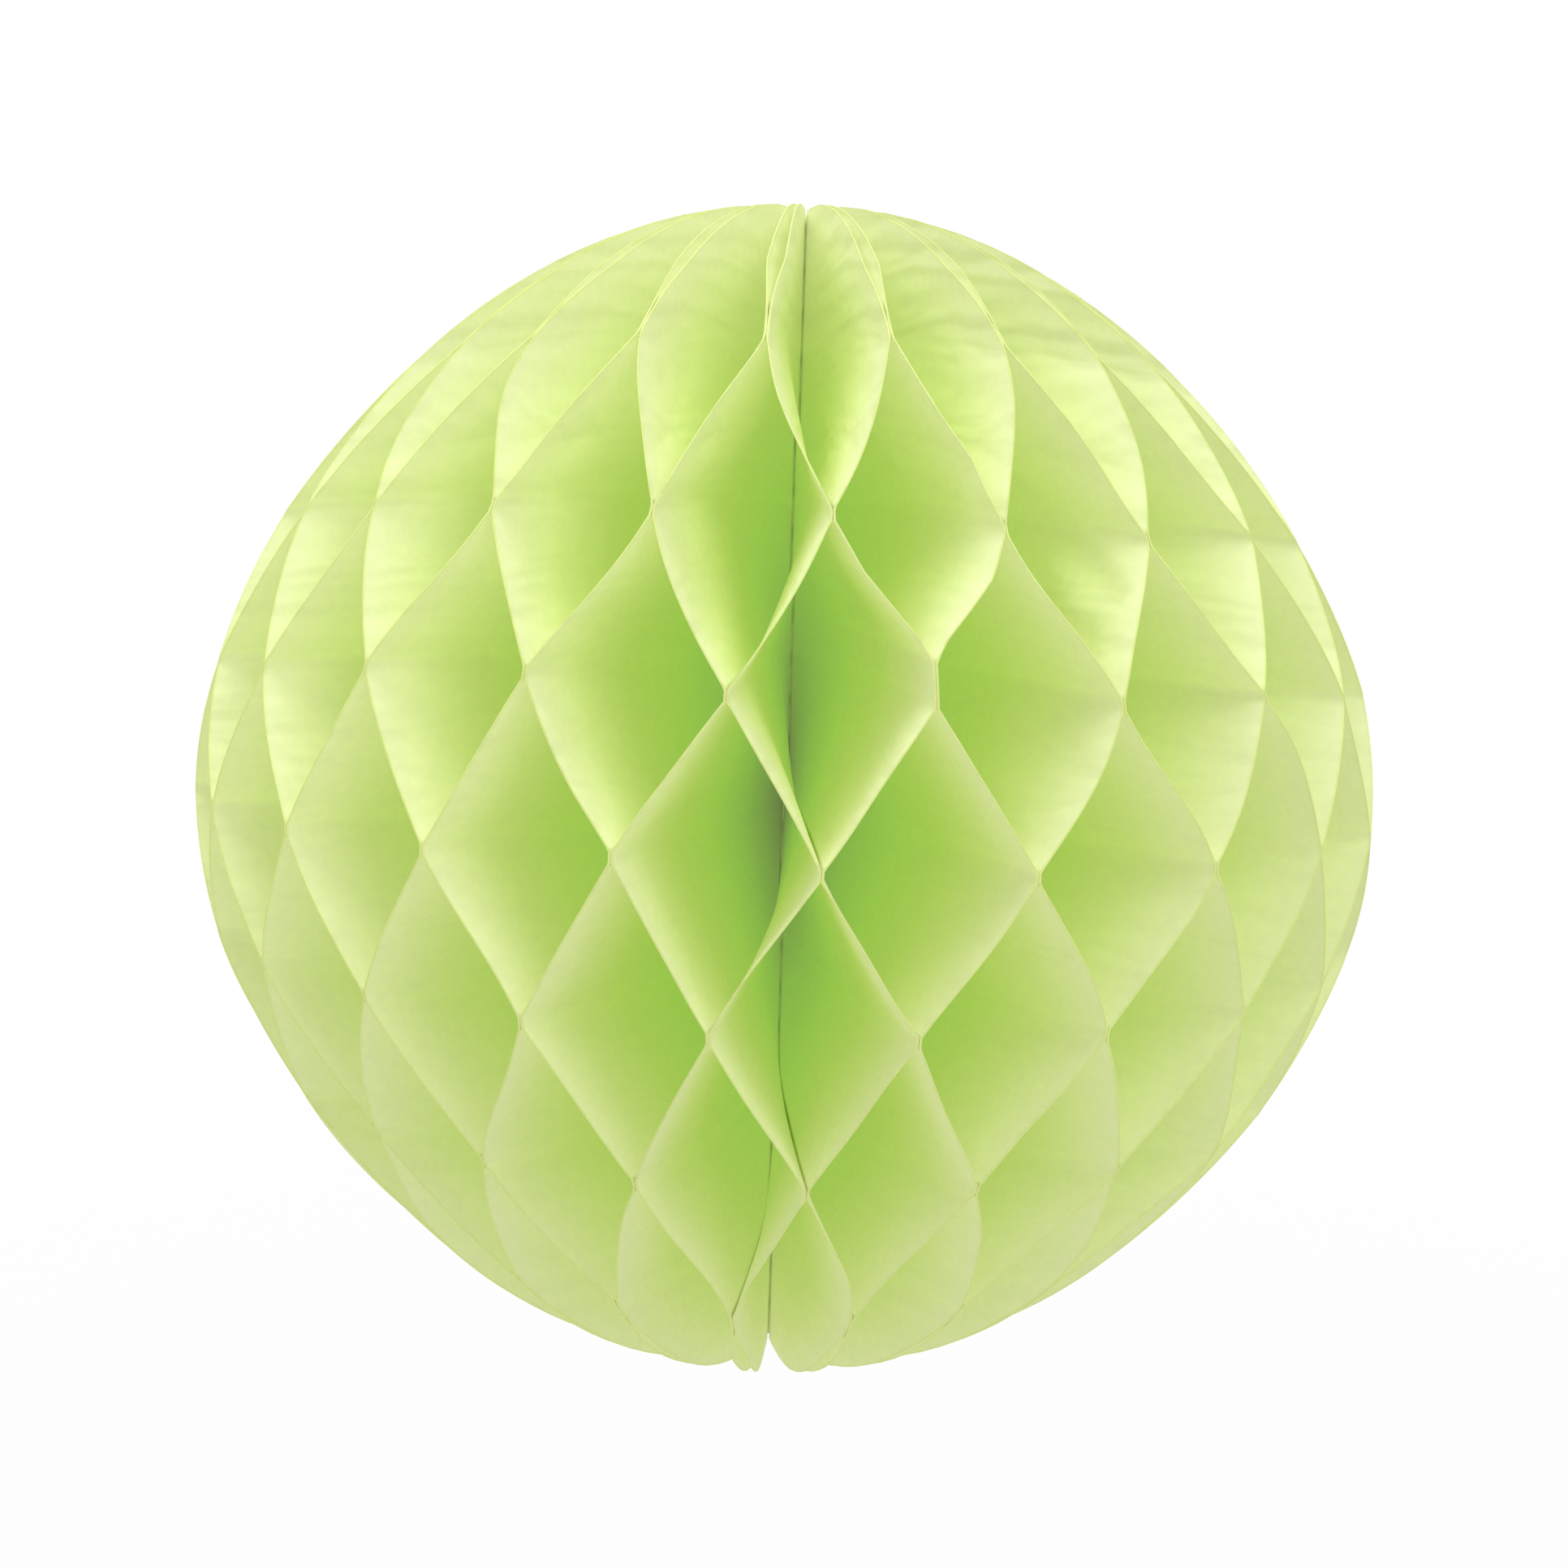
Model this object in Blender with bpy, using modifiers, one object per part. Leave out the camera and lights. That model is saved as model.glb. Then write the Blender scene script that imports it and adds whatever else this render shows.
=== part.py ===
# Honeycomb ball of tissue paper.
# Half-round leaves of tissue stand around an upright spine. Neighbouring leaves are glued to each
# other along level rows, and every second seam between two leaves uses the odd rows, the others the
# even rows. Opened out, each leaf zigzags between its two seams and the cells between them are
# diamonds. The stack was closed by two half-round cards, which meet at the back of the open ball.
# The origin is the ball's centre, +Z runs up the spine, and the cards lie on the +Y side.

import math

import bmesh
import bpy
from mathutils import Matrix, Vector

# Tissue leaves
BALL_RADIUS = 0.100          # radius of the half-round cut of every leaf
LEAF_COUNT = 46              # leaves around the open ball
TISSUE_THICKNESS = 0.0002
LEAF_GAP = 0.0003            # glue line between two leaves, and the clearance to every neighbour

# Glue rows
GLUE_PITCH = 0.0254          # height from one glue row to the next on the flat leaf
GLUE_WIDTH = 0.0025          # height of one glue line

# End cards
CARD_THICKNESS = 0.0005
CARD_INSET = 0.0055          # cut this much smaller than the leaves, to stay inside the ball

# Spine
THREAD_END_INSET = 0.002     # the binding thread ends this far inside the ball's poles
THREAD_END_CHAMFER = 0.0006

# Facets
POLE_TIP_WIDTH = 0.0025      # width left on a leaf at its two tips
TIP_STEPS = 4                # facets of the rim between the last glue row and the tip
CARD_ARC_STEPS = 28
THREAD_SIDES = 16

COLLECTION_NAME = "honeycomb_tissue_ball"

# Sizes that follow from the ones above
CARD_RADIUS = BALL_RADIUS - CARD_INSET
HALF_STEP = math.pi / LEAF_COUNT                    # angle from a leaf's middle plane to its seam
LAST_ROW = int(BALL_RADIUS / GLUE_PITCH - 0.5)      # the last row stays half a pitch off the pole
CARD_ROOM = CARD_THICKNESS + LEAF_GAP               # half of what the two cards take at the back
HALF_SPACING = (TISSUE_THICKNESS + LEAF_GAP) / 2    # a glued leaf's middle to its seam plane
SIDE_ROOM = HALF_SPACING + CARD_ROOM / LEAF_COUNT
CORE_RADIUS = SIDE_ROOM / math.sin(HALF_STEP)       # where the leaves' straight edges stand
THREAD_RADIUS = CORE_RADIUS - LEAF_GAP
TIP_HEIGHT = math.sqrt(BALL_RADIUS ** 2 - (CORE_RADIUS + POLE_TIP_WIDTH) ** 2)


def paper_material(name, colour, roughness):
    material = bpy.data.materials.new(name)
    material.use_nodes = True
    material.diffuse_color = (*colour, 1.0)
    shader = material.node_tree.nodes["Principled BSDF"]
    shader.inputs["Base Color"].default_value = (*colour, 1.0)
    shader.inputs["Roughness"].default_value = roughness
    shader.inputs["Metallic"].default_value = 0.0
    return material


def row_side(leaf, row):
    """Which seam a leaf is glued to on a row: -1 for the one before it, +1 for the one after."""
    return -1 if (leaf + row) % 2 else 1


def leaf_stations(leaf):
    """Heights on the flat leaf with the side it leans to there, from the lower tip to the upper.
    A panel between two rows crosses the middle plane. Past the last row the leaf stays flat
    against the neighbour that it is glued to there."""
    first_free = LAST_ROW * GLUE_PITCH + GLUE_WIDTH / 2
    first_angle = math.asin(first_free / BALL_RADIUS)
    tip_angle = math.asin(TIP_HEIGHT / BALL_RADIUS)
    last_side = row_side(leaf, LAST_ROW)
    free_edge = []
    for step in range(1, TIP_STEPS + 1):
        angle = first_angle + (tip_angle - first_angle) * step / TIP_STEPS
        free_edge.append((BALL_RADIUS * math.sin(angle), last_side))
    stations = [(-height, row_side(leaf, -LAST_ROW)) for height, side in reversed(free_edge)]
    for row in range(-LAST_ROW, LAST_ROW + 1):
        middle = row * GLUE_PITCH
        side = row_side(leaf, row)
        stations.append((middle - GLUE_WIDTH / 2, side))
        stations.append((middle + GLUE_WIDTH / 2, side))
        if row < LAST_ROW:
            stations.append((middle + GLUE_PITCH / 2, 0))
    return stations + free_edge


def side_reach(radius):
    """How far a leaf leans out of its middle plane at a glue row, at this distance from the spine."""
    return max(0.0, radius * math.tan(HALF_STEP) - SIDE_ROOM / math.cos(HALF_STEP))


def open_heights(stations, radius):
    """Heights of the stations on the open ball. Each panel keeps its flat length, so a panel that
    leans sideways stands lower, and the whole leaf is measured from its middle."""
    reach = side_reach(radius)
    heights = [0.0]
    for (low, lean_low), (high, lean_high) in zip(stations, stations[1:]):
        rise = math.sqrt((high - low) ** 2 - (reach * (lean_high - lean_low)) ** 2)
        heights.append(heights[-1] + rise)
    middle = (heights[0] + heights[-1]) / 2
    return [height - middle for height in heights]


def make_leaf(leaf, collection, material):
    """One zigzag leaf: a grid two points wide from the spine to the rim, with a wall's thickness."""
    stations = leaf_stations(leaf)
    bm = bmesh.new()
    bmesh.ops.create_grid(bm, x_segments=1, y_segments=len(stations) - 1, size=1.0)
    turn = Matrix.Rotation(math.pi / 2 + (2 * leaf + 1) * HALF_STEP, 4, "Z")
    offset = CARD_ROOM * (1 - (2 * leaf + 1) / LEAF_COUNT)
    for vert in bm.verts:
        place = round((vert.co.y + 1) / 2 * (len(stations) - 1))
        flat_height, lean = stations[place]
        radius = CORE_RADIUS
        if vert.co.x > 0:
            radius = math.sqrt(BALL_RADIUS ** 2 - flat_height ** 2)
        height = open_heights(stations, radius)[place]
        vert.co = turn @ Vector((radius, offset + side_reach(radius) * lean, height))
    mesh = bpy.data.meshes.new(f"leaf_{leaf + 1:02d}")
    bm.to_mesh(mesh)
    bm.free()
    mesh.materials.append(material)
    obj = bpy.data.objects.new(mesh.name, mesh)
    collection.objects.link(obj)
    wall = obj.modifiers.new("Thickness", "SOLIDIFY")
    wall.thickness = TISSUE_THICKNESS
    wall.offset = 0.0
    wall.use_even_offset = True
    return obj


def make_end_card(name, side, collection, material):
    """A half-round card beside the seam plane, with its straight edge along the spine."""
    curve = bpy.data.curves.new(name, "CURVE")
    curve.dimensions = "2D"
    curve.fill_mode = "BOTH"
    curve.extrude = CARD_THICKNESS / 2
    half_height = math.sqrt(CARD_RADIUS ** 2 - CORE_RADIUS ** 2)
    end_angle = math.atan2(half_height, CORE_RADIUS)
    spline = curve.splines.new("POLY")
    spline.points.add(CARD_ARC_STEPS)
    for step, point in enumerate(spline.points):
        angle = -end_angle + 2 * end_angle * step / CARD_ARC_STEPS
        point.co = (CARD_RADIUS * math.cos(angle), CARD_RADIUS * math.sin(angle), 0.0, 1.0)
    spline.use_cyclic_u = True
    curve.materials.append(material)
    obj = bpy.data.objects.new(name, curve)
    collection.objects.link(obj)
    # the outline's X goes out along +Y, its Y up the spine and its thickness along X
    obj.matrix_world = Matrix((
        (0, 0, 1, side * (CARD_THICKNESS + LEAF_GAP) / 2),
        (1, 0, 0, 0),
        (0, 1, 0, 0),
        (0, 0, 0, 1),
    ))
    return obj


def make_spine_thread(collection, material):
    """The thread that binds the straight edges, a turned bar with chamfered ends."""
    half_length = BALL_RADIUS - THREAD_END_INSET
    neck = THREAD_RADIUS - THREAD_END_CHAMFER
    shoulder = half_length - THREAD_END_CHAMFER
    profile = [(0, half_length), (neck, half_length), (THREAD_RADIUS, shoulder)]
    profile += [(radius, -height) for radius, height in reversed(profile)]
    mesh = bpy.data.meshes.new("spine_thread")
    edges = [(index, index + 1) for index in range(len(profile) - 1)]
    mesh.from_pydata([(radius, 0, height) for radius, height in profile], edges, [])
    mesh.materials.append(material)
    obj = bpy.data.objects.new(mesh.name, mesh)
    collection.objects.link(obj)
    screw = obj.modifiers.new("Turn", "SCREW")
    screw.axis = "Z"
    screw.angle = 2 * math.pi
    screw.steps = THREAD_SIDES
    screw.render_steps = THREAD_SIDES
    screw.use_merge_vertices = True
    screw.merge_threshold = 0.00001
    return obj


def main():
    for old in list(bpy.data.objects):
        bpy.data.objects.remove(old, do_unlink=True)
    collection = bpy.data.collections.new(COLLECTION_NAME)
    bpy.context.scene.collection.children.link(collection)
    tissue = paper_material("lime_tissue_paper", (0.60, 0.74, 0.24), 0.9)
    card = paper_material("lime_end_card", (0.52, 0.68, 0.20), 0.8)
    thread = paper_material("white_cotton_thread", (0.85, 0.85, 0.80), 0.9)
    for leaf in range(LEAF_COUNT):
        make_leaf(leaf, collection, tissue)
    make_end_card("end_card_left", -1, collection, card)
    make_end_card("end_card_right", 1, collection, card)
    make_spine_thread(collection, thread)


main()
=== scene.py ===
import math

import bpy
import numpy as np
from mathutils import Matrix, Vector


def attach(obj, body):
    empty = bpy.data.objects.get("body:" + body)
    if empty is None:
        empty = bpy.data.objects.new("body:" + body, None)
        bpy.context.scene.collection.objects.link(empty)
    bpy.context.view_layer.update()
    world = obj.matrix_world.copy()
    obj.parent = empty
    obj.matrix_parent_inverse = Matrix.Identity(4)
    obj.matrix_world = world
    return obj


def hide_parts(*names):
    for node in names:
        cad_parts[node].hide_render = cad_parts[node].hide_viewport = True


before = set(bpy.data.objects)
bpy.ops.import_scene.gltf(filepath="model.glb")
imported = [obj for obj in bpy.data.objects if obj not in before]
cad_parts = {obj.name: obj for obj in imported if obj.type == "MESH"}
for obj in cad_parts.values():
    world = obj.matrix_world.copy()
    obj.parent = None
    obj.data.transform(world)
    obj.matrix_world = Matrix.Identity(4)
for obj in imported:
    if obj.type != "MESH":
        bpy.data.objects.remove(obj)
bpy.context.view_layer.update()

# Honeycomb ball of lime tissue, about 200 mm across. Its leaves stand around an upright spine,
# glued in staggered rows. All sizes are in metres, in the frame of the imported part.

mm = 0.001
uvPerMetre = 5.0                # the sheets' UV maps hold flat sizes, and 200 mm count as 1


def linearColour(hexColour):
    # sRGB hex to linear light, with the sRGB curve written out
    parts = np.array([int(hexColour[i:i + 2], 16) for i in (1, 3, 5)]) / 255.0
    linear = np.where(parts <= 0.04045, parts / 12.92, ((parts + 0.055) / 1.055) ** 2.4)
    return (float(linear[0]), float(linear[1]), float(linear[2]), 1.0)


def addNode(tree, kind, settings=None, links=None):
    # one node: settings are attributes or input values, links feed its inputs
    node = tree.nodes.new(kind)
    for name, value in (settings or {}).items():
        if isinstance(name, str) and hasattr(node, name):
            setattr(node, name, value)
        else:
            node.inputs[name].default_value = value
    for name, socket in (links or {}).items():
        tree.links.new(socket, node.inputs[name])
    return node


def newMaterial(name):
    material = bpy.data.materials.new(name)
    material.use_nodes = True
    material.node_tree.nodes.clear()
    return material, material.node_tree


# Leaves

leaf = {
    "radius": 100 * mm,         # the half-round cut
    "count": 46,
    "thickness": 0.2 * mm,
    "gap": 0.3 * mm,            # glue line, and the room beside the end cards
    "hair": 0.02 * mm,          # each bead of glue ends this short of the seam's middle
    "cardThickness": 0.5 * mm,
    "pitch": 25.4 * mm,         # from one glue row to the next
    "glueWidth": 1.5 * mm,
    "lastRow": 3,               # rows are counted up and down from the middle one
    "tipWidth": 2.5 * mm,       # width left at the two tips
    "rowsOfFaces": 156,
    "columnsOfFaces": 26,
    "rowCrowding": 0.5,         # 0 spaces the rows of faces evenly, 1 crowds them at the glue lines
    "rimCrowding": 1.3,         # above 1 the columns of faces lie closer together at the rim
    "roundness": 0.02,          # 0 folds like card, 1 bends like a soft sheet
    "loose": 0.3,               # how far the ends open again past the last glue row
    "looseAfter": 0.35,         # and within how many pitches they do so
    "beadFrom": 0.93,           # lean at which the bead of glue begins, 1 is at the neighbour
    "slack": 0.10,              # how far a panel bellies, beside its room
    "waves": 3,                 # a belly is this many long waves,
    "waveLength": (28, 62),     # each between these lengths in mm,
    "waveTilt": 0.9,            # turned up or down by this many radians at most,
    "waveSum": 1.7,             # and together they reach about this high
    "seed": 7,
    "sharpAngle": 50,           # degrees, past which an edge between two faces shows
}

halfStep = math.pi / leaf["count"]
cardRoom = leaf["cardThickness"] + leaf["gap"]
sideRoom = (leaf["thickness"] + leaf["gap"]) / 2 + cardRoom / leaf["count"]
coreRadius = sideRoom / math.sin(halfStep)
tipHeight = math.sqrt(leaf["radius"] ** 2 - (coreRadius + leaf["tipWidth"]) ** 2)


def crowdedHeight(row):
    # flat height = pitch * (t - k sin(2 pi t) / 2 pi), with t the row number and k the crowding
    return leaf["pitch"] * (row - leaf["rowCrowding"] * np.sin(2 * np.pi * row) / (2 * np.pi))


def stationHeights():
    # flat heights of the grid's rows from tip to tip, evenly spaced in the row number. The tip's
    # row number is read back from its height in a fine table.
    tableSteps = 2000
    fineRow = np.linspace(0, leaf["lastRow"] + 1, tableSteps)
    tipRow = np.interp(tipHeight, crowdedHeight(fineRow), fineRow)
    return crowdedHeight(np.linspace(-tipRow, tipRow, leaf["rowsOfFaces"] + 1))


def leanProfile(heights):
    # side of the middle plane at each height, for a leaf glued at +1 on even rows and -1 on odd
    # ones: flat over a glue line, and between two lines a straight run bent to an S by roundness.
    # Past the last line it comes a little loose from its neighbour.
    x = np.abs(heights) / leaf["pitch"]
    row = np.floor(x)
    half = leaf["glueWidth"] / leaf["pitch"] / 2
    share = np.clip((x - row - half) / (1 - 2 * half), 0, 1)
    share = share - leaf["roundness"] * np.sin(2 * np.pi * share) / (2 * np.pi)
    start = np.where(row % 2 == 0, 1.0, -1.0)
    lean = start * (1 - 2 * share)
    last = 1.0 - 2 * (leaf["lastRow"] % 2)
    beyond = np.clip((x - leaf["lastRow"] - half) / leaf["looseAfter"], 0, 1)
    return np.where(x >= leaf["lastRow"], last * (1 - leaf["loose"] * beyond ** 2), lean)


def standingHeights(heights, lean, reach):
    # height on the open ball: each step keeps its flat length, so it rises by
    # sqrt(step^2 - (reach * change of lean)^2), summed up and measured from the middle. Every
    # point of the grid has its own reach, and reads the height of its own row.
    step = np.diff(heights)[None, None, :]
    swing = np.diff(lean)[None, None, :] * reach[:, :, None]
    rise = np.sqrt(np.maximum(step ** 2 - swing ** 2, 0))
    total = np.concatenate([np.zeros(reach.shape + (1,)), np.cumsum(rise, axis=2)], axis=2)
    total -= (total[:, :, :1] + total[:, :, -1:]) / 2
    rows = np.arange(len(heights))[:, None, None]
    return np.take_along_axis(total, np.broadcast_to(rows, reach.shape + (1,)), axis=2)[:, :, 0]


flatHeight = stationHeights()
flatLean = leanProfile(flatHeight)
rimRadius = np.sqrt(leaf["radius"] ** 2 - flatHeight ** 2)
columnShare = 1 - (1 - np.linspace(0, 1, leaf["columnsOfFaces"] + 1)) ** leaf["rimCrowding"]
flatRadius = coreRadius + (rimRadius[:, None] - coreRadius) * columnShare[None, :]
reach = np.maximum(flatRadius * math.tan(halfStep) - sideRoom / math.cos(halfStep), 0)
openHeight = standingHeights(flatHeight, flatLean, reach)


def slackField(random):
    # a panel's belly as a share of its reach: a sum of long sine waves across and along the leaf,
    # each with its own length, direction and phase
    field = np.zeros_like(flatRadius)
    for wave in range(leaf["waves"]):
        length = random.uniform(*leaf["waveLength"]) * mm
        angle = random.uniform(-leaf["waveTilt"], leaf["waveTilt"])
        phase = random.uniform(0, 2 * np.pi)
        along = flatRadius * math.cos(angle) + flatHeight[:, None] * math.sin(angle)
        field += np.sin(2 * np.pi * along / length + phase)
    return field * leaf["slack"] / leaf["waveSum"]


# where the open ball isn't even: azimuth from the front seam in degrees and height in mm, then how
# far the rim goes sideways and up there in mm, and the half width and half height of the place
unevenPlaces = (
    (-42, 62, -2.8, 0.6, 12, 12),
    (-50, -52, 4.0, 0.0, 12, 16),
    (-30, 22, -0.5, 2.6, 13, 12),
    (-14, 2, 0.0, 1.4, 8, 8),
    (-8, 71, 1.2, -2.0, 8, 8),
    (-2, -18, -1.8, 0.0, 9, 22),
    (25, 72, -1.8, 0.0, 9, 9),
    (25, 45, -0.8, -2.8, 11, 10),
    (20, -70, -1.6, 0.0, 9, 9),
    (33, -4, 1.6, 0.0, 9, 16),
    (42, 14, 1.2, 2.2, 8, 12),
    (47, -45, 1.0, -2.2, 8, 12),
    (54, 34, 4.5, 0.0, 8, 16),
    (110, 30, 2.0, -1.2, 14, 20),
    (95, -40, -2.2, 0.8, 14, 16),
    (140, -10, -1.6, 1.4, 12, 18),
    (-105, 15, 2.2, 1.0, 14, 18),
    (-125, -45, -1.8, -1.2, 13, 16),
    (-90, 60, 1.6, -0.8, 13, 14),
    (-145, 35, -1.5, 1.0, 11, 16),
)


def settle(points):
    # the same smooth pushes for every leaf, so that no two cross: each is a bell over azimuth and
    # height, largest at the rim and falling to nothing at the spine with the square of the radius
    x, y, z = points[:, :, 0], points[:, :, 1], points[:, :, 2]
    radius = np.hypot(x, y)
    azimuth = np.degrees(np.arctan2(x, -y))
    sideways = np.zeros_like(x)
    up = np.zeros_like(x)
    for place, height, pushSide, pushUp, halfWidth, halfHeight in unevenPlaces:
        around = (azimuth - place + 180) % 360 - 180
        bell = np.exp(-(around / halfWidth) ** 2 - ((z - height * mm) / (halfHeight * mm)) ** 2)
        sideways += pushSide * mm * bell
        up += pushUp * mm * bell
    inward = (radius / leaf["radius"]) ** 2
    angle = np.radians(azimuth) + sideways * inward / leaf["radius"]
    return np.stack([radius * np.sin(angle), -radius * np.cos(angle), z + up * inward], axis=2)


# single creases: the leaf, where the crease starts and ends as radius and height in mm, its half
# width and how far it stands out in mm
creases = (
    (27, (56, 58), (86, 41), 2.0, 1.6),
    (27, (72, 44), (81, 36), 2.2, -1.8),
    (27, (81, 36), (88, 26), 2.0, 1.8),
    (26, (62, 10), (90, 2), 2.6, 1.2),
    (25, (60, 52), (84, 60), 4.0, 0.8),
    (27, (66, 20), (88, 8), 4.0, 0.9),
    (21, (50, 30), (84, 34), 5.0, -1.0),
    (24, (52, 34), (78, 28), 5.0, 1.2),
    (19, (60, -10), (92, -4), 4.0, 0.8),
    (17, (62, 48), (82, 50), 4.0, -0.9),
    (29, (62, -34), (84, -38), 4.0, 0.8),
    (6, (60, 20), (90, 30), 4.0, 1.0),
    (11, (58, -40), (80, -52), 4.0, -1.0),
    (35, (60, 44), (82, 50), 4.0, 0.9),
    (40, (62, -12), (92, -20), 4.0, -1.0),
)


def creased(index):
    # height of the creases over the flat sheet: a bell across the distance to the crease's line
    field = np.zeros_like(flatRadius)
    for number, start, end, halfWidth, depth in creases:
        if number != index + 1:
            continue
        start, end = np.array(start) * mm, np.array(end) * mm
        run = end - start
        offRadius, offHeight = flatRadius - start[0], flatHeight[:, None] - start[1]
        share = np.clip((offRadius * run[0] + offHeight * run[1]) / (run @ run), 0, 1)
        away = np.hypot(offRadius - share * run[0], offHeight - share * run[1])
        field += depth * mm * np.exp(-(away / (halfWidth * mm)) ** 2)
    return field


# glue lines that run on above their row: the leaf, the row and how much higher it holds, in mm
longGlue = {(24, 1): 5.0, (25, 1): 5.0}
longGlueEnd = 9.0               # from this height above the row in mm, the leaf eases back


def leafLean(index):
    # the lean of one leaf, with heights above a long glue line read lower so that it stays flat
    side = -1.0 if index % 2 else 1.0
    heights = flatHeight.copy()
    for (number, row), extra in longGlue.items():
        if number == index + 1:
            above = heights - row * leaf["pitch"]
            back = np.clip(2 - above / (longGlueEnd * mm), 0, 1)
            rise = np.clip(above / (extra * mm), 0, 1) * back
            heights = heights - extra * mm * rise
    return side * leanProfile(heights)


def leafDepths(index):
    # how far a leaf's two faces lie from its middle surface: half the thickness, and on the side
    # that is glued the bead of glue as well, so that the pair closes to a hair. The first face is
    # the one on the side that a negative lean goes to.
    lean = leafLean(index)[:, None, None]
    pressed = np.clip((np.abs(lean) - leaf["beadFrom"]) / (1 - leaf["beadFrom"]), 0, 1)
    bead = (leaf["gap"] / 2 - leaf["hair"]) * pressed
    half = leaf["thickness"] / 2
    return half + bead * (lean < 0), half + bead * (lean > 0)


def leafSurface(index):
    # middle surface of one leaf: radius and height from the flat sheet, and sideways its reach
    # times the lean, plus a belly and creases that fade out where the leaf is glued
    random = np.random.RandomState(leaf["seed"] + index)
    lean = leafLean(index)[:, None]
    free = 1 - lean ** 2
    sideways = reach * (lean + free * slackField(random)) + free * creased(index)
    offset = cardRoom * (1 - (2 * index + 1) / leaf["count"])
    turn = math.pi / 2 + (2 * index + 1) * halfStep
    x = flatRadius
    y = offset + sideways
    return settle(np.stack([
        x * math.cos(turn) - y * math.sin(turn),
        x * math.sin(turn) + y * math.cos(turn),
        openHeight,
    ], axis=2))


def gridNormals(points):
    # the cross product of the two grid directions at each point, made one long
    along = np.gradient(points, axis=0)
    across = np.gradient(points, axis=1)
    normal = np.cross(across, along)
    return normal / np.linalg.norm(normal, axis=2, keepdims=True)


def shellMesh(name, points, uv, frontDepth, backDepth):
    # a closed shell round a grid: one copy moved out by frontDepth, one moved in by backDepth,
    # and a strip of faces round the edge that joins them
    rows, columns = points.shape[:2]
    normal = gridNormals(points)
    front = (points + normal * frontDepth).reshape(-1, 3)
    back = (points - normal * backDepth).reshape(-1, 3)
    count = rows * columns
    number = np.arange(count).reshape(rows, columns)
    a, b = number[:-1, :-1].ravel(), number[:-1, 1:].ravel()
    c, d = number[1:, 1:].ravel(), number[1:, :-1].ravel()
    frontFaces = np.stack([a, b, c, d], axis=1)
    backFaces = np.stack([a, d, c, b], axis=1) + count
    rim = np.concatenate([number[0, :-1], number[:-1, -1], number[-1, :0:-1], number[:0:-1, 0]])
    after = np.roll(rim, -1)
    rimFaces = np.stack([rim, rim + count, after + count, after], axis=1)
    faces = np.concatenate([frontFaces, backFaces, rimFaces])
    mesh = bpy.data.meshes.new(name)
    mesh.vertices.add(2 * count)
    mesh.vertices.foreach_set("co", np.concatenate([front, back]).ravel())
    mesh.loops.add(faces.size)
    mesh.loops.foreach_set("vertex_index", faces.ravel())
    mesh.polygons.add(len(faces))
    mesh.polygons.foreach_set("loop_start", np.arange(0, faces.size, 4))
    mesh.update(calc_edges=True)
    layer = mesh.uv_layers.new(name="sheet")
    sheet = np.concatenate([uv.reshape(-1, 2)] * 2)[faces.ravel()]
    layer.data.foreach_set("uv", sheet.ravel())
    mesh.validate()
    mesh.shade_smooth()
    mesh.set_sharp_from_angle(angle=math.radians(leaf["sharpAngle"]))
    return mesh


def addPiece(name, mesh, material, node):
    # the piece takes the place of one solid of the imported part
    piece = bpy.data.objects.new(name, mesh)
    bpy.context.scene.collection.objects.link(piece)
    mesh.materials.append(material)
    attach(piece, "root")
    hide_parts(node)
    return piece


# Materials

tissue = {
    # colours of the sheet from the cut edge inwards, at these depths. Light and shade are painted
    # in:
    # a thin darker line right at the cut, pale near the edge where the light falls, greener down in
    # the cells and darkest beside the spine, where the shade is
    "depths": (0 * mm, 0.4 * mm, 5 * mm, 14 * mm, 28 * mm, 46 * mm, 66 * mm, 82 * mm, 96 * mm),
    "colours": ("#d6dd94", "#e0e4ba", "#dce3ae", "#d0de8e", "#bcd85e", "#acd742", "#92c738",
                "#72a82e", "#45761f"),
    "through": "#d7e39e",       # what a sheet lets through
    "share": 0.40,              # how much of the light goes through
    "roughness": 0.75,
    "gloss": 0.2,               # specular level, low for an unsized sheet
    "glueMark": 1.5 * mm,       # half height of the band on a glue row
    "glueShade": 1.03,          # two sheets send more back; the lightening is partly painted light for what they hold back
    "fibreSize": 1.5 * mm,      # clouds of fibres, coarser than the fibres so that they show
    "mottle": 0.03,             # how much lighter and darker they are
    "crinkle": (26 * mm, 9 * mm),  # length and width of the soft crinkles, which run outwards
    "crinkleDepth": 2.0 * mm,
}


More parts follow.
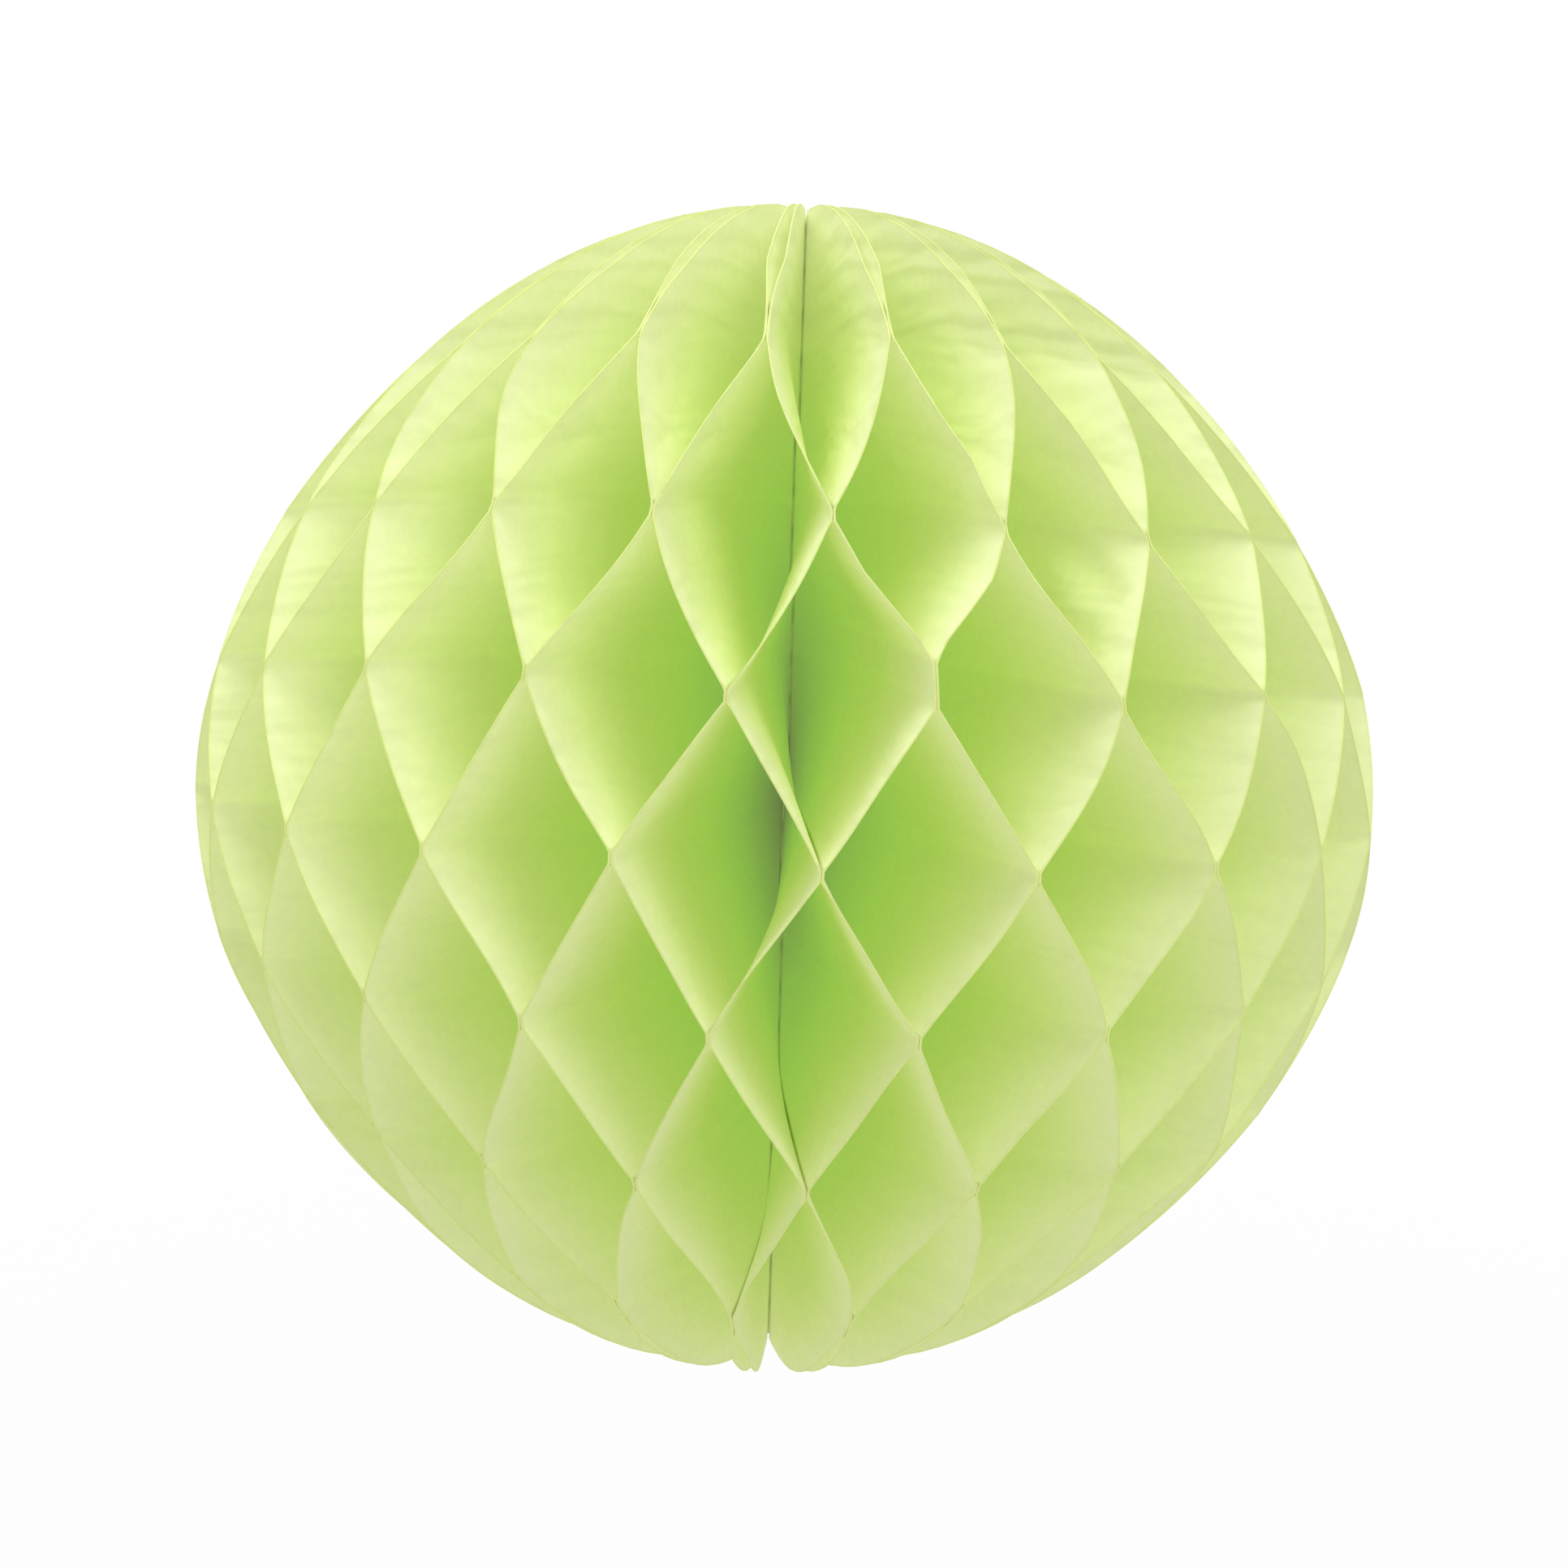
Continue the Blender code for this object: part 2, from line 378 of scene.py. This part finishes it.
def tissueMaterial():
    # Machine-made tissue paper, dyed in the pulp and pressed thin: matt, cloudy with fibres, and
    # thin enough that light goes through it and makes the cells glow.
    material, tree = newMaterial("dyedTissuePaper")
    sheet = addNode(tree, "ShaderNodeUVMap", {"uv_map": "sheet"})
    place = addNode(tree, "ShaderNodeTexCoord")
    fibres = addNode(tree, "ShaderNodeTexNoise", {"Scale": 1 / tissue["fibreSize"], "Detail": 3.0,
                                                  "Roughness": 0.65},
                     {"Vector": place.outputs["Object"]})
    mottle = addNode(tree, "ShaderNodeMapRange", {
        "From Min": 0.3, "From Max": 0.7, "To Min": 1 - tissue["mottle"],
        "To Max": 1 + tissue["mottle"]}, {"Value": fibres.outputs["Fac"]})
    # distance from the leaf's flat middle, as a share of the radius that it reaches at the cut edge
    away = addNode(tree, "ShaderNodeVectorMath", {"operation": "LENGTH"},
                   {0: sheet.outputs["UV"]})
    depth = addNode(tree, "ShaderNodeMapRange", {"From Min": leaf["radius"] * uvPerMetre,
                                                 "From Max": 0.0, "To Min": 0.0, "To Max": 1.0},
                    {"Value": away.outputs["Value"]})
    # painted light and shade: the sheet's colour by depth into the cells, pale at the edge, darkest
    # at the spine
    paintedLightAndShade = addNode(tree, "ShaderNodeValToRGB", None, {"Fac": depth.outputs["Result"]})
    stops = paintedLightAndShade.color_ramp.elements
    while len(stops) < len(tissue["depths"]):
        stops.new(1.0)
    for stop, reached, colour in zip(stops, tissue["depths"], tissue["colours"]):
        stop.position = reached / leaf["radius"]
        stop.color = linearColour(colour)
    # distance to the nearest glue row, where two sheets lie on each other
    flat = addNode(tree, "ShaderNodeSeparateXYZ", None, {"Vector": sheet.outputs["UV"]})
    halfPitch = leaf["pitch"] * uvPerMetre / 2
    toRow = addNode(tree, "ShaderNodeMath", {"operation": "PINGPONG", 1: halfPitch},
                    {0: flat.outputs["Y"]})
    # painted light, in part: the glue rows are drawn a little lighter to make up for the light the
    # double sheet holds back
    glueRowLightening = addNode(tree, "ShaderNodeMapRange", {
        "interpolation_type": "SMOOTHSTEP", "From Min": 0.0,
        "From Max": tissue["glueMark"] * uvPerMetre, "To Min": tissue["glueShade"],
        "To Max": 1.0}, {"Value": toRow.outputs[0]})
    tone = addNode(tree, "ShaderNodeMath", {"operation": "MULTIPLY"},
                   {0: mottle.outputs["Result"], 1: glueRowLightening.outputs["Result"]})
    shade = addNode(tree, "ShaderNodeVectorMath", {"operation": "SCALE"},
                    {0: paintedLightAndShade.outputs["Color"], "Scale": tone.outputs[0]})
    perLength, perWidth = (1 / (size * uvPerMetre) for size in tissue["crinkle"])
    stretch = addNode(tree, "ShaderNodeMapping", {"Scale": (perLength, perWidth, 1.0)},
                      {"Vector": sheet.outputs["UV"]})
    crinkles = addNode(tree, "ShaderNodeTexNoise", {"Scale": 1.0, "Detail": 2.0, "Distortion": 0.3},
                       {"Vector": stretch.outputs["Vector"]})
    relief = addNode(tree, "ShaderNodeBump", {"Strength": 1.0, "Distance": tissue["crinkleDepth"]},
                     {"Height": crinkles.outputs["Fac"]})
    surface = addNode(tree, "ShaderNodeBsdfPrincipled", {
        "Roughness": tissue["roughness"], "Specular IOR Level": tissue["gloss"]},
        {"Base Color": shade.outputs["Vector"], "Normal": relief.outputs["Normal"]})
    through = addNode(tree, "ShaderNodeBsdfTranslucent", {"Color": linearColour(tissue["through"])},
                      {"Normal": relief.outputs["Normal"]})
    mix = addNode(tree, "ShaderNodeMixShader", {0: tissue["share"]},
                  {1: surface.outputs[0], 2: through.outputs[0]})
    addNode(tree, "ShaderNodeOutputMaterial", None, {"Surface": mix.outputs[0]})
    return material


card = {
    "radius": 94.5 * mm,
    "tipWidth": 0.05 * mm,      # width left at the two tips
    "rows": 96,
    "columns": 12,
    "colour": "#d2dc9c",
    "roughness": 0.8,
    "fibreSize": 2 * mm,        # coarser than the fibres so that they show
    "mottle": (0.9, 1.06),
    "grain": 0.05 * mm,
}


def cardMaterial():
    # Uncoated board dyed like the tissue: flat, dull and slightly mottled by its fibres.
    material, tree = newMaterial("uncoatedLimeCard")
    place = addNode(tree, "ShaderNodeTexCoord")
    fibres = addNode(tree, "ShaderNodeTexNoise", {"Scale": 1 / card["fibreSize"], "Detail": 4.0},
                     {"Vector": place.outputs["Object"]})
    darkest, lightest = card["mottle"]
    mottle = addNode(tree, "ShaderNodeMapRange", {"To Min": darkest, "To Max": lightest},
                     {"Value": fibres.outputs["Fac"]})
    paint = addNode(tree, "ShaderNodeRGB")
    paint.outputs[0].default_value = linearColour(card["colour"])
    shade = addNode(tree, "ShaderNodeVectorMath", {"operation": "SCALE"},
                    {0: paint.outputs[0], "Scale": mottle.outputs["Result"]})
    grain = addNode(tree, "ShaderNodeBump", {"Strength": 0.3, "Distance": card["grain"]},
                    {"Height": fibres.outputs["Fac"]})
    surface = addNode(tree, "ShaderNodeBsdfPrincipled", {"Roughness": card["roughness"]},
                      {"Base Color": shade.outputs["Vector"], "Normal": grain.outputs["Normal"]})
    addNode(tree, "ShaderNodeOutputMaterial", None, {"Surface": surface.outputs[0]})
    return material


def cardSurface(side):
    # half a disc as a grid: rows run up the spine, columns out from the straight edge to the arc
    top = math.sqrt(card["radius"] ** 2 - coreRadius ** 2)
    angle = np.linspace(-1, 1, card["rows"] + 1) * math.atan2(top, coreRadius)
    arc = card["radius"] * np.cos(angle)
    height = card["radius"] * np.sin(angle)
    share = np.linspace(0, 1, card["columns"] + 1)
    width = np.maximum(arc - coreRadius, card["tipWidth"])
    out = coreRadius + width[:, None] * share
    x = np.full_like(out, side * (leaf["cardThickness"] + leaf["gap"]) / 2)
    return np.stack([x, out, np.broadcast_to(height[:, None], out.shape)], axis=2)


thread = {
    "radius": coreRadius - leaf["gap"],
    "halfLength": 99.5 * mm,
    "strands": 3,
    "lay": 22 * mm,             # height of one turn of a strand
    "groove": 0.18,             # depth between two strands, as a share of the radius
    "chamfer": 1.6 * mm,
    "endShare": 0.5,            # what is left of the round section at the two ends, by area
    "around": 48,
    "along": 240,
    "sharpAngle": 60,
    # painted shade: white cotton drawn darker and green, for the shade and green light round the
    # spine
    "colour": "#b4c878",
    "shades": (0.75, 0.95),
    "roughness": 0.9,
    "fibreSize": 0.4 * mm,
    "fibreStretch": 0.25,       # below 1 the fibres run along the thread
    "grain": 0.1 * mm,
}


def threadMaterial():
    # Twisted cotton, dull, with fine fibres that run along it. Its colour is painted shade: the
    # white cotton is drawn darker and green, for the shade and the green light round the spine.
    material, tree = newMaterial("twistedCotton")
    place = addNode(tree, "ShaderNodeTexCoord")
    stretch = addNode(tree, "ShaderNodeMapping", {"Scale": (1.0, 1.0, thread["fibreStretch"])},
                      {"Vector": place.outputs["Object"]})
    fibres = addNode(tree, "ShaderNodeTexNoise", {"Scale": 1 / thread["fibreSize"], "Detail": 3.0},
                     {"Vector": stretch.outputs["Vector"]})
    darkest, lightest = thread["shades"]
    shade = addNode(tree, "ShaderNodeMapRange", {"To Min": darkest, "To Max": lightest},
                    {"Value": fibres.outputs["Fac"]})
    paint = addNode(tree, "ShaderNodeRGB")
    paint.outputs[0].default_value = linearColour(thread["colour"])
    paintedShadeTint = addNode(tree, "ShaderNodeVectorMath", {"operation": "SCALE"},
                   {0: paint.outputs[0], "Scale": shade.outputs["Result"]})
    grain = addNode(tree, "ShaderNodeBump", {"Strength": 0.5, "Distance": thread["grain"]},
                    {"Height": fibres.outputs["Fac"]})
    surface = addNode(tree, "ShaderNodeBsdfPrincipled", {"Roughness": thread["roughness"]},
                      {"Base Color": paintedShadeTint.outputs["Vector"], "Normal": grain.outputs["Normal"]})
    addNode(tree, "ShaderNodeOutputMaterial", None, {"Surface": surface.outputs[0]})
    return material


def threadMesh():
    # a round bar whose radius swells on each strand, turned with height. Both ends are rounded off
    # by a quarter ellipse, cut short where endShare is reached, and closed by a flat face.
    angle = np.arange(thread["around"]) * 2 * np.pi / thread["around"]
    height = np.linspace(-thread["halfLength"], thread["halfLength"], thread["along"] + 1)
    turned = angle[None, :] - 2 * np.pi * height[:, None] / thread["lay"]
    lobes = np.abs(np.cos(turned * thread["strands"] / 2))
    toEnd = (thread["halfLength"] - np.abs(height)) / thread["chamfer"]
    dome = np.sqrt(np.clip(1 - (1 - np.clip(toEnd, 0, 1)) ** 2, thread["endShare"], 1))
    radius = thread["radius"] * (1 - thread["groove"] * (1 - lobes)) * dome[:, None]
    points = np.stack([radius * np.cos(angle), radius * np.sin(angle),
                       np.broadcast_to(height[:, None], radius.shape)], axis=2).reshape(-1, 3)
    number = np.arange(len(points)).reshape(len(height), thread["around"])
    after = np.roll(number, -1, axis=1)
    sides = np.stack([number[:-1], after[:-1], after[1:], number[1:]], axis=2).reshape(-1, 4)
    faces = sides.tolist() + [number[0, ::-1].tolist(), number[-1].tolist()]
    mesh = bpy.data.meshes.new("bindingThread")
    mesh.from_pydata(points.tolist(), [], faces)
    mesh.shade_smooth()
    mesh.set_sharp_from_angle(angle=math.radians(thread["sharpAngle"]))
    return mesh


# Making the pieces

tissuePaper = tissueMaterial()
flat = np.stack([flatRadius, np.broadcast_to(flatHeight[:, None], flatRadius.shape)], axis=2)
for index in range(leaf["count"]):
    name = f"tissueLeaf_{index + 1:02d}"
    mesh = shellMesh(name, leafSurface(index), flat * uvPerMetre, *leafDepths(index))
    addPiece(name, mesh, tissuePaper, f"leaf_{index + 1:02d}")
print("leaves made:", leaf["count"])

limeCard = cardMaterial()
for side, word in ((-1, "left"), (1, "right")):
    points = cardSurface(side)
    half = leaf["cardThickness"] / 2
    mesh = shellMesh(f"endCard_{word}", points, points[:, :, 1:] * uvPerMetre, half, half)
    addPiece(f"endCard_{word}", mesh, limeCard, f"end_card_{word}")
addPiece("bindingThread", threadMesh(), threadMaterial(), "spine_thread")
print("cards and thread made")


# Camera, from the glue corners and the outline in the photograph

camera = {
    "distance": 324.7 * mm,
    "azimuth": -3.21,           # degrees, from the front seam towards -X
    "elevation": 5.90,
    "roll": 1.93,               # the spine leans to the right in the picture
    "lens": 41.8,
    "sensor": 36.0,
    "nearest": 10 * mm,
    "aimRight": -0.25 * mm,     # where the picture's centre lies beside the ball's centre
    "aimUp": 1.14 * mm,
}


def makeCamera():
    # back, right and up are the camera's own axes for its azimuth and elevation, turned by the roll
    azimuth, elevation, roll = (math.radians(camera[k]) for k in ("azimuth", "elevation", "roll"))
    back = Vector((math.sin(azimuth) * math.cos(elevation),
                   -math.cos(azimuth) * math.cos(elevation), math.sin(elevation)))
    right = Vector((math.cos(azimuth), math.sin(azimuth), 0))
    up = back.cross(right)
    rolledRight = right * math.cos(roll) + up * math.sin(roll)
    rolledUp = up * math.cos(roll) - right * math.sin(roll)
    place = back * camera["distance"] + rolledRight * camera["aimRight"] + rolledUp * camera["aimUp"]
    turn = Matrix((rolledRight, rolledUp, back)).transposed().to_4x4()
    data = bpy.data.cameras.new("camera")
    data.lens = camera["lens"]
    data.sensor_width = camera["sensor"]
    data.clip_start = camera["nearest"]
    obj = bpy.data.objects.new("camera", data)
    obj.matrix_world = Matrix.Translation(place) @ turn
    bpy.context.scene.collection.objects.link(obj)
    bpy.context.scene.camera = obj


# Light and floor

studio = {
    "floorHeight": -300 * mm,
    "floorRadius": 6.0,
    "floorSides": 96,
    "floorColour": "#bababa",
    "floorWhite": 0.95,         # share of plain white that the camera sees in the floor
    "floorFade": (0.35, 1.3),   # from here to there out, the floor fades into plain white
    "lampSize": 1.0,
    "keyPower": 14.0,
    "keyPlace": (0.60, -1.00, 1.35),
    "topPower": 17.0,
    "topPlace": (-0.45, 0.10, 1.30),
    "worldStrength": 0.40,
    "fillStrength": 0.37,       # even fill that reaches into the cells
    "fillReach": 0.5 * mm,      # and fades where walls are closer together than this
    "bounces": 4,
}


def makeFloor():
    # a round pale floor, its middle catches the shadow and its rim fades into the white around
    mesh = bpy.data.meshes.new("floor")
    sides = studio["floorSides"]
    angle = np.arange(sides) * 2 * np.pi / sides
    points = np.stack([studio["floorRadius"] * np.cos(angle), studio["floorRadius"] * np.sin(angle),
                       np.full_like(angle, studio["floorHeight"])], axis=1)
    mesh.from_pydata(points.tolist(), [], [list(range(sides))])
    floor = bpy.data.objects.new("floor", mesh)
    bpy.context.scene.collection.objects.link(floor)
    material, tree = newMaterial("paleFloor")
    place = addNode(tree, "ShaderNodeTexCoord")
    away = addNode(tree, "ShaderNodeVectorMath", {"operation": "LENGTH"},
                   {0: place.outputs["Object"]})
    fadeStart, fadeEnd = studio["floorFade"]
    fade = addNode(tree, "ShaderNodeMapRange", {
        "interpolation_type": "SMOOTHSTEP", "From Min": fadeStart, "From Max": fadeEnd,
        "To Min": studio["floorWhite"], "To Max": 1.0}, {"Value": away.outputs["Value"]})
    ray = addNode(tree, "ShaderNodeLightPath")
    seen = addNode(tree, "ShaderNodeMath", {"operation": "MULTIPLY"},
                   {0: fade.outputs["Result"], 1: ray.outputs["Is Camera Ray"]})
    matt = addNode(tree, "ShaderNodeBsdfDiffuse", {"Color": linearColour(studio["floorColour"])})
    white = addNode(tree, "ShaderNodeEmission", {"Strength": 1.0})
    mix = addNode(tree, "ShaderNodeMixShader", None,
                  {0: seen.outputs[0], 1: matt.outputs[0], 2: white.outputs[0]})
    addNode(tree, "ShaderNodeOutputMaterial", None, {"Surface": mix.outputs[0]})
    mesh.materials.append(material)


def addLamp(name, power, place):
    # a square area lamp that faces the ball's centre
    data = bpy.data.lights.new(name, "AREA")
    data.energy = power
    data.size = studio["lampSize"]
    lamp = bpy.data.objects.new(name, data)
    lamp.location = place
    lamp.rotation_euler = Vector(place).to_track_quat("Z", "Y").to_euler()
    bpy.context.scene.collection.objects.link(lamp)


def makeWorld():
    world = bpy.data.worlds.new("studio")
    bpy.context.scene.world = world
    world.use_nodes = True
    tree = world.node_tree
    tree.nodes.clear()
    # Is Transmission Ray is left out: the light through the tissue would count as one
    ray = addNode(tree, "ShaderNodeLightPath")
    seen = addNode(tree, "ShaderNodeMath", {"operation": "MAXIMUM"},
                   {0: ray.outputs["Is Camera Ray"], 1: ray.outputs["Is Glossy Ray"]})
    soft = addNode(tree, "ShaderNodeBackground", {"Strength": studio["worldStrength"],
                                                  "Color": (1, 1, 1, 1)})
    white = addNode(tree, "ShaderNodeBackground", {"Strength": 1.0, "Color": (1, 1, 1, 1)})
    mix = addNode(tree, "ShaderNodeMixShader", None,
                  {0: seen.outputs[0], 1: soft.outputs[0], 2: white.outputs[0]})
    addNode(tree, "ShaderNodeOutputWorld", None, {"Surface": mix.outputs[0]})
    # an even fill in place of the many bounces that light makes between thin pale sheets
    world.light_settings.ao_factor = studio["fillStrength"]
    world.light_settings.distance = studio["fillReach"]
    scene = bpy.context.scene
    scene.cycles.use_fast_gi = True
    scene.cycles.fast_gi_method = "ADD"
    scene.cycles.max_bounces = studio["bounces"]


makeCamera()
makeFloor()
addLamp("key", studio["keyPower"], studio["keyPlace"])
addLamp("top", studio["topPower"], studio["topPlace"])
makeWorld()
bpy.context.scene.view_settings.view_transform = "Standard"
print("camera, floor and lights made")
